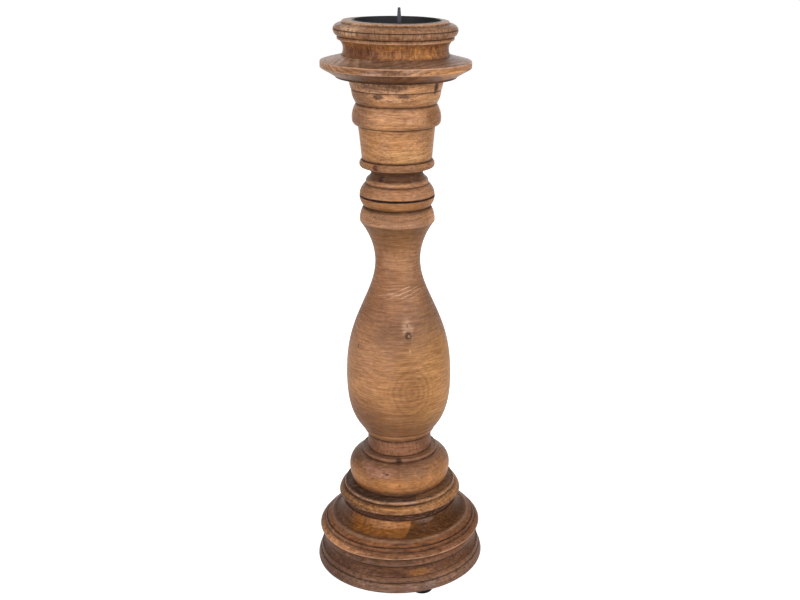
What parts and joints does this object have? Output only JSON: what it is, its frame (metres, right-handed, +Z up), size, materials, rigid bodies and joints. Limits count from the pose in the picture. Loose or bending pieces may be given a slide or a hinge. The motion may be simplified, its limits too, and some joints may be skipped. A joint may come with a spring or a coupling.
{
  "type": "pricket candle stand",
  "caption": "Tall turned wooden candle stand with a baluster column, stepped round base, wide drip plate and a black steel dish with a spike that holds a pillar candle.",
  "frame": {"origin": "on the floor under the middle of the stand, at the bottom of the feet on the axis of turning", "axes": "+Z up along the axis of turning, -Y to the front, +X to the right"},
  "size_m": [0.168, 0.168, 0.5564],
  "materials": {
    "stained_wood": "satin, warm brown stain with darker grooves",
    "dark_stained_wood": "satin, dark brown stain",
    "dowel_wood": "bare",
    "black_steel": "matte black",
    "dark_steel": "satin black",
    "zinc_steel": "zinc plated",
    "black_rubber": "matte"
  },
  "bodies": {
    "stand": {"plinth": "dark_stained_wood", "base_disc_left": "dark_stained_wood", "base_disc_middle": "dark_stained_wood", "base_disc_right": "dark_stained_wood", "base_ring": "stained_wood", "bulb": "stained_wood", "baluster": "stained_wood", "capital": "stained_wood", "drip_plate": "stained_wood", "candle_cup": "stained_wood", "base_bolt": "zinc_steel", "base_washer": "zinc_steel", "neck_dowel": "dowel_wood", "cup_dowel": "dowel_wood", "foot_front_right": "black_rubber", "foot_back_right": "black_rubber", "foot_back_left": "black_rubber", "foot_front_left": "black_rubber", "foot_screws": "zinc_steel"},
    "dish": {"drip_dish": "black_steel", "pricket": "dark_steel", "pricket_washer": "zinc_steel"}
  },
  "joints": [
    {"name": "dish_lift", "type": "slide", "parent": "stand", "child": "dish", "axis": [0, 0, 1], "range_m": [0, 0.06]}
  ]
}
